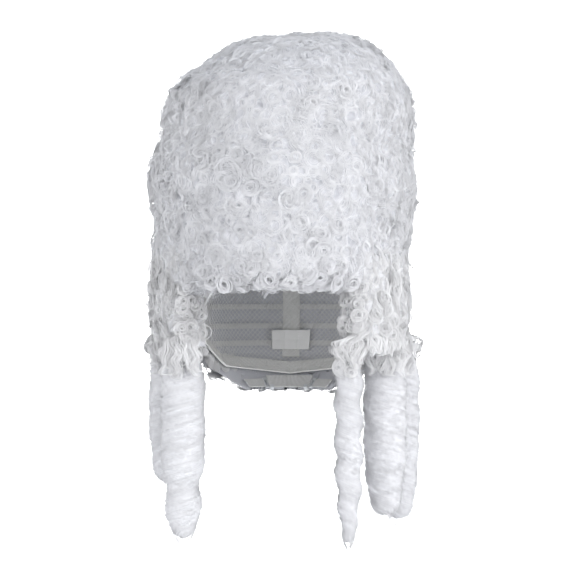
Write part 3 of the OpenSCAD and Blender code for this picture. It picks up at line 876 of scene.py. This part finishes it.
def cut_face(angles, heights, depths, facing, size=(4.5, 7.5), uneven=1.4):
    """Curls over a grid of angle, height and depth under the outline."""
    grid = np.meshgrid(*[np.atleast_1d(v).astype(float) for v in (angles, heights, depths)], indexing="ij")
    a, z, depth = (g.ravel() for g in grid)
    a = a + rng.normal(0, 1.2, len(a))
    p, n, e, u = surface(a, run_at(z + rng.normal(0, uneven, len(a))))
    return free_rings(p - n * (depth + rng.normal(0, 1.6, len(a)))[:, None], facing(n, e, u),
                      rng.uniform(*size, len(a)), lit=0.5 * n)


DOWN = np.array([0, 0, -1.0])


def standing(count, angles, heights, size=(3.5, 7.5)):
    """Loose loops that stand out of the outline, seen as rings from the front and the back."""
    a, z = rng.uniform(*angles, count), rng.uniform(*heights, count)
    s = run_at(z)
    p, n, e, _ = surface(a, s)
    middle = p + n * (height(a, s) + rng.uniform(-2.0, 1.5, count))[:, None]
    return free_rings(middle, e + 0.5 * rng.normal(0, 1, e.shape), rng.uniform(*size, count), 6, n)


def large_curls(count, angles, heights, size):
    """Single big ring curls that lie on the hair."""
    a, z = rng.uniform(*angles, count), rng.uniform(*heights, count)
    s = run_at(z)
    p, n, _, _ = surface(a, s)
    return free_rings(p + n * (height(a, s) + 0.4)[:, None], n, rng.uniform(*size, count), 14, n)


def inside_curls(count, angles, heights):
    """Small curls on the hair's inner side, below the rim of the cap."""
    a, z = rng.uniform(*angles, count), rng.uniform(*heights, count)
    _, n, _, _ = surface(a, run_at(z))
    return free_rings(on_skin(a, z, 7.2), -n + 0.3 * DOWN, rng.uniform(3.2, 5.0, count), 8, -0.5 * n)


def falling(root, foot, facing, wide, strands=13, pts=26):
    """Wavy locks from each root down to its foot, each rounded across and turned up at its end."""
    count = len(root)
    t = np.linspace(0, 1, pts)[None, None, :]
    k = np.linspace(-0.5, 0.5, strands)[None, :, None]
    jig = rng.normal(0, 1, (3, count, strands, 1))
    t = t * (1 - 0.12 * np.abs(jig[2]))
    m = unit(facing)
    side = np.cross(m, DOWN)
    drop = grow(np.linalg.norm(foot - root, axis=1)) * t
    phase = 2 * PI * drop / grow(rng.uniform(15, 23, count)) + grow(rng.uniform(0, 2 * PI, count)) + 0.25 * jig[0]
    swing = grow(rng.uniform(1.2, 2.8, count)) * smooth01(t / 0.2)
    across = grow(wide) * k * (1 - 0.4 * t) + swing * np.sin(phase) + 0.35 * jig[1]
    out = 0.45 * swing * np.cos(phase) + 2.0 * (1 - 4 * k ** 2) * smooth01(t / 0.25) + 0.3 * jig[0]
    curl = smooth01((t - 0.78) / 0.22)
    hook = 3.0 * curl * np.sign(grow(rng.normal(0, 1, count)))
    path = grow(root) + grow(foot - root) * np.stack([smooth01(t / 0.3), smooth01(t / 0.3), t - 0.13 * curl], -1)
    path = path + grow(m) * (out - 2.5 * curl)[..., None] + grow(side) * (across + hook)[..., None]
    radius = CURL_STRAND * (0.45 + 0.55 * np.sin(PI * np.clip(t * 0.9 + 0.1, 0, 1))) * uneven_width((count, strands))
    shade = 0.55 + 0.12 * rng.normal(0, 1, (count, 1, 1)) + 0.12 * jig[1]
    return as_group(path, radius, shade, unit(grow(m) + 1.1 * k[..., None] * grow(side)))


front_z = spread(-119, -64, 6.2)
edges = {
    "fringe": [cut_face(spread(-48, 40, 4.2), FRINGE_Z + 1, [8, 14, 20], lambda n, e, u: 0.5 * n - u),
               cut_face(spread(-46, 38, 7.0), FRINGE_Z + 3, 4, lambda n, e, u: n - 0.4 * u, (5, 9), 3.0)],
    "side_left": [
        cut_face(FACE_LEFT + 0.5, front_z, [9, 15, 21, 27], lambda n, e, u: 0.5 * n - e, (5, 8)),
        cut_face(spread(FACE_LEFT + 1, SIDE_BACK, 4.4), SIDE_Z + 2, [10, 17], lambda n, e, u: n + DOWN, (5, 8))],
    "side_right": [
        cut_face(FACE_RIGHT - 0.5, front_z, [9, 15, 21, 27], lambda n, e, u: 0.5 * n + e, (5, 8)),
        cut_face(spread(-SIDE_BACK, FACE_RIGHT - 1, 4.4), SIDE_Z + 2, [10, 17], lambda n, e, u: n + DOWN, (5, 8))],
    "nape": [cut_face(spread(128, 232, 4.6), -150, [2, 9], lambda n, e, u: n + 0.7 * DOWN, (5, 8)),
             cut_face(spread(146, 214, 4.6), -162, [3, 8, 12], lambda n, e, u: DOWN + 0.1 * n, (4, 6.0))],
    "tower_right": [standing(150, (-135, -45), (-38, 118))],
    "tower_left": [standing(70, (45, 135), (-38, 118), (3.5, 6))],
    "crest": [standing(70, (-180, 180), (122, 150), (3.5, 6))],
}
edges["side_left"].append(inside_curls(60, (112, 142), (-143, -124)))
edges["side_right"].append(inside_curls(60, (-142, -112), (-143, -124)))
edges["tower_front"] = [large_curls(44, (-45, 30), (-38, 112), (7, 11.5))]
edges["tower_right"].append(large_curls(40, (-130, -46), (-38, 112), (8, 13)))
edges["fringe"].append(large_curls(16, (-46, 30), (-58, -40), (6.5, 9.5)))
edges["side_left"].append(large_curls(20, (FACE_LEFT + 4, 72), (-116, -52), (7, 11.5)))
edges["side_right"].append(large_curls(20, (-80, FACE_RIGHT - 4), (-116, -52), (7, 11.5)))
edges["side_left"].append(standing(26, (60, 120), (-116, -42), (3.5, 6)))
edges["side_right"].append(standing(60, (-120, -60), (-116, -42)))


# the hooks at the nape turn about an upright axis at this y, and lean in at 45 degrees below this ring
HOOK_Y, HOOK_R, HOOK_Z = 26.5, 50.2, -149.8
HOOK_LENGTH, HOOK_THICK, CLEARANCE = 15.0, 2.0, 3.5


def clear_of_adjusters(group):
    """The strands of a group that keep out of the way of the hooks."""
    x, y, z = np.moveaxis(group[0], -1, 0)
    r = np.hypot(x, y - HOOK_Y)
    down, out = (HOOK_R - r + HOOK_Z - z) * math.sqrt(0.5), (r - HOOK_R + HOOK_Z - z) * math.sqrt(0.5)
    hit = ((down > -CLEARANCE) & (down < HOOK_LENGTH + CLEARANCE)
           & (out > -CLEARANCE) & (out < HOOK_THICK + CLEARANCE) & (y > HOOK_Y))
    keep = ~hit.any(1)
    return tuple(v[keep] for v in group)


frizz_a, frizz_s, frizz_group = frizz(8.0)
lock_place = place_of(lock_a, lock_z)
frizz_place = place_of(frizz_a, z_at(frizz_s))
SHAPES = {RING: ring_shape, COIL: coil_shape, WAVE: wave_shape}
for place in ("tower_front", "tower_left", "tower_back", "tower_right", "crest", "fringe", "side_left", "side_right",
              "nape"):
    groups = [strands_of(np.flatnonzero((lock_place == place) & (lock_kind == kind)), shape)
              for kind, shape in SHAPES.items()]
    groups += edges.get(place, [])
    if place in ("side_left", "side_right", "nape"):
        groups = [clear_of_adjusters(group) for group in groups]
    # the side hair's strands take the copy painted lighter, to lift the shade on them
    chunked(f"curls_{place}", groups, mat=HAIR_PAINTED_LIGHTER if "side" in place else HAIR)
    here = frizz_place == place
    hair(strand_object(f"frizz_{place}", [tuple(v[here] for v in frizz_group)], HAIR))

# ---------------------------------------------------------------- ringlets
# x, y, knob radius, full radius, tip radius, length below the loop, turns, groove depth, waist
RINGLETS = {
    "left_front": (61, -65, 11, 13.5, 5, 154, 5.5, 3.2, 0),
    "left_middle": (91, -10, 16, 20, 11, 131, 4.5, 1.1, 0),
    "left_rear": (102, 36, 16, 20, 12, 139, 5, 1.1, 0),
    "right_front": (-86, -44, 16, 20, 9, 149, 5, 1.1, 0.2),
    "right_middle": (-103, -2, 16, 19.5, 12, 105, 4, 1.1, 0),
    "right_rear": (-99, 39, 16, 18.5, 11, 98, 4, 1.1, 0),
}
WOUND, FUZZ, WISPS = 64, 1500, 46  # strands of each kind on a ringlet


def ringlet(name, x, y, knob, full, tip, length, turns, groove, waist):
    """One ringlet: its packed core, the strands wound on it, its fuzz and the wisps at its tip."""
    pivot = np.array([x, y, SIDE_Z - 1.5 - knob])
    body = f"ringlet_{name}"
    hand = 1 if x > 0 else -1
    tall = length + knob
    wind = hand * 2 * PI * turns
    seam = math.atan2(-y, -x)  # towards the head, where the lines of the core meet

    def outline(q):
        """Radius and height at q, from 0 at the top of the knob to 1 at the tip."""
        drop = q * tall
        r = (knob + (full - knob) * smooth01(drop / (knob + 18)))
        r = r * (1 - np.clip((q - 0.5) / 0.5, 0, 1) ** 2 * (1 - tip / full))
        r = r * (1 - waist * np.exp(-((q - 0.72) / 0.06) ** 2) + 0.7 * waist * np.exp(-((q - 0.86) / 0.07) ** 2))
        r = r * np.sqrt(np.clip(1 - np.clip(1 - drop / knob, 0, 1) ** 2, 0.03, 1))
        end = np.clip((drop - (tall - tip)) / tip, 0, 1)
        return r * np.sqrt(np.clip(1 - end ** 2, 0.02, 1)), knob - drop

    def skin(phi, q):
        """Radius and height of the core's own surface."""
        r, z = outline(q)
        slim = np.clip(r / full, 0, 1)
        spot = np.stack([r * np.cos(phi) + x, r * np.sin(phi) + y, z + pivot[2]], -1)
        comb = z + hand * ((phi - seam) % (2 * PI)) * tall / (turns * 2 * PI)
        r = r - slim * (0.6 + groove * (0.5 - 0.5 * np.cos(phi - wind * q)) - 0.9 * noise(spot, 13.0)
                        - 0.35 * noise(spot, 4.5) - 0.14 * np.cos(2 * PI / GROOVE * comb))
        return np.maximum(r, 0.4), z, comb

    nu, nv = 96, 150
    phi, q = np.meshgrid(seam + np.arange(nu) / nu * 2 * PI, np.linspace(1, 0, nv))
    r, z, comb = skin(phi, q)
    rings = np.stack([r * np.cos(phi), r * np.sin(phi), z], -1) + pivot
    verts, tris = capped(rings, rings[0].mean(0) - [0, 0, 0.2], rings[-1].mean(0) + [0, 0, 0.2])
    tone = 0.5 + 0.5 * noise(rings, 9.0)
    extra = np.zeros(2)
    core = mesh_object(f"ringlet_core_{name}", verts, tris, CORE, {
        "comb": np.concatenate([comb.ravel(), extra]), "shade": np.concatenate([tone.ravel(), extra + 0.5])})
    hair(core, body, body=body)

    def along(phi, q, out, drop=0.0):
        r, z, _ = skin(phi, q)
        way = np.stack([np.cos(phi), np.sin(phi), 0 * phi], -1)
        return way * (r + out)[..., None] + np.stack([0 * z, 0 * z, z + drop], -1) + pivot, way

    # wound strands, each in and out of the core
    count, n = WOUND, int(20 * turns) + 10
    q = np.linspace(0.0, 1.0, n)[None, :] + np.zeros((count, 1))
    start = (np.arange(count) / count * 2 * PI)[:, None] + rng.normal(0, 0.06, (count, 1))
    drift = noise(np.stack([start * 3 + 0 * q, q * 16, 0 * q], -1), 1.0)
    path, way = along(start + wind * q + 0.16 * drift, q,
                      0.25 + 0.7 * noise(np.stack([start * 5 + 0 * q, q * 24, 0 * q + 7], -1), 1.0), 1.4 * drift)
    radius = np.full((count, n), 0.26) * rng.uniform(0.7, 1.3, (count, 1))
    shade = np.clip(0.55 + 0.15 * rng.normal(0, 1, (count, 1)) + 0.1 * drift, 0, 1)
    groups = [(path, radius, shade, way)]
    # fuzz standing off them
    count, n = FUZZ, 5
    t = np.linspace(0, 1, n)[None, :]
    q0, start = rng.uniform(0.04, 1.0, (count, 1)), rng.uniform(0, 2 * PI, (count, 1))
    q = np.clip(q0 + rng.normal(0, 0.012, (count, 1)) * t, 0, 1)
    out = rng.uniform(0.5, 3.0, (count, 1)) * np.sin(PI * 0.62 * t)
    path, way = along(start + hand * rng.uniform(5, 14, (count, 1)) / 20 * t, q, out,
                      rng.normal(0, 2.2, (count, 1)) * t)
    shade = np.clip(0.7 + 0.1 * rng.normal(0, 1, (count, 1)), 0, 1) + 0 * q
    groups.append((path, np.full((count, n), 0.13), shade, way))
    # wisps at the tip
    count = WISPS
    start = rng.uniform(0, 2 * PI, (count, 1))
    path, way = along(start + 1.6 * hand * t, 0.93 + 0.07 * t + 0 * start, 0.4 + 0 * t * start,
                      -rng.uniform(3, 9, (count, 1)) * t ** 2)
    groups.append((path, np.full((count, n), 0.18) * (1 - 0.5 * t), 0.6 + 0 * start * t, way))
    hair(strand_object(f"ringlet_strands_{name}", groups, SOFT), body=body)


for name, values in RINGLETS.items():
    ringlet(name, *values)

# ---------------------------------------------------------------- curls over the ringlets' loops


def ring_at(x, y, phi, stand):
    way = np.stack([np.cos(phi), np.sin(phi), 0 * phi], -1)
    return np.array([x, y, 0.0]) + way * np.broadcast_to(stand, phi.shape)[:, None], way


def cover(x, y, knob, full, front, back):
    """Curls of the side hair round a ringlet's loop: close to the knob, and lower on its open faces."""
    outward = 1 if x > 0 else -1
    turn = lambda degrees: -PI / 2 + outward * np.radians(np.asarray(degrees, float))
    groups = []
    # rings of curls above the reach of the ringlet as it swings: all round, and lower at its front and back
    phi = turn(np.arange(0, 360, 24)) + rng.normal(0, 0.08, 15)
    open_face = (np.abs(np.sin(phi)) > 0.75) & (outward * np.cos(phi) < 0.3)
    for low, phi in ((0.0, phi), (0.35 * knob, phi[open_face] + math.radians(12))):
        middle, way = ring_at(x, y, phi, knob + 3.0)
        middle[:, 2] = SIDE_Z - low - rng.uniform(0, 1.5, len(middle))
        groups.append(free_rings(middle, way + 0.2 * DOWN, rng.uniform(4.0, 5.4, len(middle)), 12))
    faces = ([-24, -8, 8, 22] if front else []) + ([156, 172, 188, 204] if back else [])
    if faces:
        phi = turn(faces)
        middle, way = ring_at(x, y, phi, (full + 2.8) / np.abs(np.sin(phi)))
        middle[:, 2] = SIDE_Z - 2 - np.array([9, 2, 14, 5, 12, 3, 10, 6])[:len(phi)] - rng.uniform(0, 4, len(phi))
        groups.append(free_rings(middle, way, rng.uniform(4.5, 7.5, len(phi)), 14))
    return groups


def curtain(x, y, knob, full, way):
    """Wavy locks of the side hair down past the front (way -1) or the back (way 1) of a ringlet's loop."""
    rows = spread(-0.95, 0.95, 0.3), spread(-0.8, 0.8, 0.34)
    dx = np.concatenate(rows) * full
    stand = np.repeat([3.2, 5.6], [len(row) for row in rows])
    foot = np.stack([x + dx + rng.normal(0, 0.8, len(dx)), y + way * (full + stand), 0 * dx], -1)
    a, r = np.degrees(np.arctan2(foot[:, 0], -foot[:, 1])), np.hypot(foot[:, 0], foot[:, 1])
    a = np.where(x > 0, np.clip(a, FACE_LEFT + 3, SIDE_BACK - 3), np.clip(a, 3 - SIDE_BACK, FACE_RIGHT - 3))
    r, a = np.clip(r, 90, 110), np.radians(a)
    root = np.stack([r * np.sin(a), -r * np.cos(a), rng.uniform(-116, -104, len(a))], -1)
    foot[:, 2] = SIDE_Z - rng.uniform(0.9, 2.1, len(a)) * knob
    return falling(root, foot, np.tile([0.25 * np.sign(x), 1.0 * way, 0], (len(a), 1)), rng.uniform(6, 9, len(a)))


def hem(a0, a1, heads):
    """Wavy locks along the lower edge of the side hair, out over the ringlets' heads where these stand in the way."""
    a = np.concatenate([spread(a0, a1, 2.6), spread(a0, a1, 3.0)])
    a = a + rng.normal(0, 0.6, len(a))
    s = run_at(rng.uniform(-113, -106, len(a)))
    root, n, _, _ = surface(a, s)
    root = root + n * (height(a, s) - 1.0)[:, None]
    foot, _, _, _ = surface(a, run_at(np.full(len(a), SIDE_Z + 3.0)))
    for x, y, knob in heads:
        off = foot[:, :2] - [x, y]
        apart = np.hypot(off[:, 0], off[:, 1])
        foot[:, :2] = [x, y] + off * (np.maximum(apart, knob + 4.5) / apart)[:, None]
    foot[:, 2] = SIDE_Z - rng.uniform(3, 10, len(a))
    return falling(root, foot, n * [1, 1, 0], rng.uniform(6, 9, len(a)))


# the ringlets whose front or back is open to view
FRONT = {"left_front", "left_middle", "left_rear", "right_front", "right_middle"}
BACK = {"left_rear", "right_rear"}
for wearer_side, ends in (("left", (FACE_LEFT + 3, SIDE_BACK - 3)), ("right", (3 - SIDE_BACK, FACE_RIGHT - 3))):
    here = {name: values[:4] for name, values in RINGLETS.items() if name.startswith(wearer_side)}
    groups = []
    for name, values in here.items():
        groups += cover(*values, name in FRONT, name in BACK)
    # the curls and locks round the loops take the copy painted lighter, to lift the shade on them
    chunked(f"loop_curls_{wearer_side}", groups, mat=HAIR_PAINTED_LIGHTER)
    groups = [curtain(*values, way) for name, values in here.items()
              for way, names in ((-1, FRONT), (1, BACK)) if name in names]
    groups.append(hem(*ends, [values[:3] for values in here.values()]))
    chunked(f"loop_locks_{wearer_side}", groups, 1280, HAIR_PAINTED_LIGHTER)

# ---------------------------------------------------------------- inside of the cap
CROWN_TOP = 20.0   # polar angle of the crown patch's edge, in degrees
NET_LINES = 118    # threads each way
NET_OUT = 0.5      # the net lies this far outside the head
BAND = 11.0        # width of the bands


def net_threads():
    """Two families of slanting threads from the crown patch down to the rim."""
    fine = np.radians(np.linspace(CROWN_TOP - 2, 128, 260))
    turn = np.degrees(np.concatenate([[0], np.cumsum(np.diff(fine) / np.sin(fine[1:]) * 1.02)]))
    z = -HEAD[2] + HEAD[2] * np.cos(fine)
    lines = []
    for way in (-1, 1):
        for a0 in np.arange(NET_LINES) * 360 / NET_LINES:
            a = a0 + way * turn
            below = np.flatnonzero(z < rim_z(a) + 0.4)
            stop = below[0] if len(below) else len(z) - 1
            pick = np.linspace(0, stop, 44)
            lines.append(on_skin(np.interp(pick, np.arange(len(a)), a), np.interp(pick, np.arange(len(z)), z),
                                 NET_OUT + 0.12 * way))
    return np.array(lines)


def zigzag(a0, a1, height_at, swing, step, out, radius=0.2):
    """One line of zigzag stitches round the cap."""
    count = int(np.radians(a1 - a0) * 87 / step)
    a = np.linspace(a0, a1, count)
    z = height_at(a) + swing * np.where(np.arange(count) % 2, 1, -1)
    return on_skin(a, z, out)[None], np.full((1, count), radius)


def joined(parts, sides):
    """Several sets of tubes as one list of verts and triangles."""
    verts, faces, offset = [], [], 0
    for path, radius in parts:
        v, f, _ = tubes(path, radius, sides)
        verts.append(v)
        faces.append(f + offset)
        offset += len(v)
    return np.concatenate(verts), np.concatenate(faces)


def sewn(name, parts, sides, slot, *nodes):
    piece(mesh_object(name, *joined(parts, sides), THREAD), ROOT, slot, *nodes)


lines = net_threads()
sewn("net_threads", [(lines, np.full(lines.shape[:2], 0.24))], 3, "cap_net", "cap_crown_net")
ring_a, ring_t = np.meshgrid(np.arange(72) * 5.0, np.linspace(0.02, 1, 10) * math.radians(CROWN_TOP))
patch = [on_skin(ring_a, -HEAD[2] + (HEAD[2] + o) * np.cos(ring_t), o) for o in (0.1, 0.9)]
patch = np.concatenate([patch[0], patch[1][::-1]])
piece(mesh_object("crown_patch", *capped(patch, [0, 0, 0.1], [0, 0, 0.9]), TAPE_ACROSS), ROOT, "cap_net")
around = np.linspace(180, 540, 420)
cord = on_skin(around, rim_z(around) + 0.2, 0.7)[None]
sewn("rim_cord", [(cord, np.full(cord.shape[:2], 0.85))], 8, "cap_tape")
sewn("band_stitches", [zigzag(180, 540, lambda a: rim_z(a) + at, 0.9, 1.5, 0.95) for at in (2.2, BAND - 2.0)],
     3, "cap_tape")
# height of each row of wefting, and the angle it starts at on either side of the face
WEFTS = ((-8, 0), (-20, 0), (-35, 0), (-50, 0), (-68, 75), (-86, 82.5), (-104, 105), (-120, 120))
sewn("weft_stitches", [zigzag(a, 360 - a, lambda q: z + 0 * q, 0.8, 1.3, 2.72) for z, a in WEFTS], 3, "fibre_wefting")

# ---------------------------------------------------------------- carried-over parts of the frame


def dress(mat, *names):
    for n in names:
        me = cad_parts[n].data
        me.materials.clear()
        me.materials.append(mat)


dress(WIRE, "frame_base_ring", "frame_middle_ring", "frame_top_ring", "frame_uprights", "ear_tab_stay_left",
      "ear_tab_stay_right", *(f"ringlet_loop_{k}" for k in RINGLETS))
dress(STIFF_NET, "frame_net")
dress(CLEAR, "adjuster_hook_left", "adjuster_hook_right")
dress(ELASTIC, "adjuster_elastic_left", "adjuster_elastic_right", "adjuster_loop_tape")
dress(SATIN, "care_label")
dress(TAPE, "front_band", "side_band_left", "side_band_right", "nape_band", "ear_tab_left", "ear_tab_right")
dress(TAPE_OVER, "centre_tape")
dress(TAPE_ACROSS, "cross_tape")
dress(WEFT, *(f"weft_row_{i}" for i in range(1, 9)))

# ---------------------------------------------------------------- studio
FLOOR, nt, b = material("floor_white", 0.9)
paint(nt, b, noise_node(nt, 3, 2), (0.0, (0.93, 0.93, 0.93)), (1.0, (0.96, 0.96, 0.96)))
FLOOR_Z, WALL_Y, CURVE = -0.46, 3.4, 1.0


def stage():
    """White sweep: floor, curve and back wall in one sheet."""
    bend = [(WALL_Y - CURVE + CURVE * math.sin(t), FLOOR_Z + CURVE * (1 - math.cos(t)))
            for t in np.linspace(0, PI / 2, 12)]
    line = [(-9.0, FLOOR_Z), *bend, (WALL_Y, 3.6)]
    xs = np.linspace(-7, 7, 9)
    verts = np.array([[x, y, z] for y, z in line for x in xs]) / MM
    mesh_object("floor_sweep", verts, grid_faces(len(xs), len(line)), FLOOR)


stage()

world = bpy.data.worlds.new("studio")
bpy.context.scene.world = world
world.use_nodes = True
background = world.node_tree.nodes["Background"].inputs
background["Color"].default_value = (0.975, 0.985, 1.0, 1)
background["Strength"].default_value = 0.70


def area(name, at, target, size, power, colour=(1, 1, 1), spread=180):
    """A soft round lamp that no view shows itself."""
    light = bpy.data.lights.new(name, "AREA")
    light.shape = "DISK"
    light.spread = math.radians(spread)
    light.size = size
    light.energy = power
    light.color = colour
    ob = bpy.data.objects.new(name, light)
    ob.location = at
    ob.rotation_euler = (Vector(target) - Vector(at)).to_track_quat("-Z", "Y").to_euler()
    ob.visible_camera = False
    bpy.context.scene.collection.objects.link(ob)


area("key", (2.4, -3.04, 0.95), (0, 0, -0.05), 3.0, 66)
area("fill", (-0.96, -3.5, 0.3), (0, 0, -0.1), 1.5, 16)
area("top", (0.16, 0.48, 3.0), (0, 0, 0), 2.4, 14, (0.72, 0.82, 1.0))
area("side_left", (3.6, 0.6, 0.3), (0, 0, -0.1), 1.5, 12)
area("side_right", (-3.5, 0.2, 0.2), (0, 0, -0.12), 1.3, 10)
area("backdrop", (0, 1.6, 1.7), (0, 2.6, -0.25), 0.8, 50, (1, 1, 1), 105)

AZIMUTH, DISTANCE, LOOK_X, LOOK_Z = math.radians(4), 1.9, 0.0036, -0.0684
camera = bpy.data.cameras.new("camera")
camera.lens = 132
camera.sensor_width = 36
cam = bpy.data.objects.new("camera", camera)
cam.location = (LOOK_X + DISTANCE * math.sin(AZIMUTH), -DISTANCE * math.cos(AZIMUTH), LOOK_Z)
cam.rotation_euler = (PI / 2, 0, AZIMUTH)
bpy.context.scene.collection.objects.link(cam)
bpy.context.scene.camera = cam
bpy.context.scene.view_settings.view_transform = "Standard"
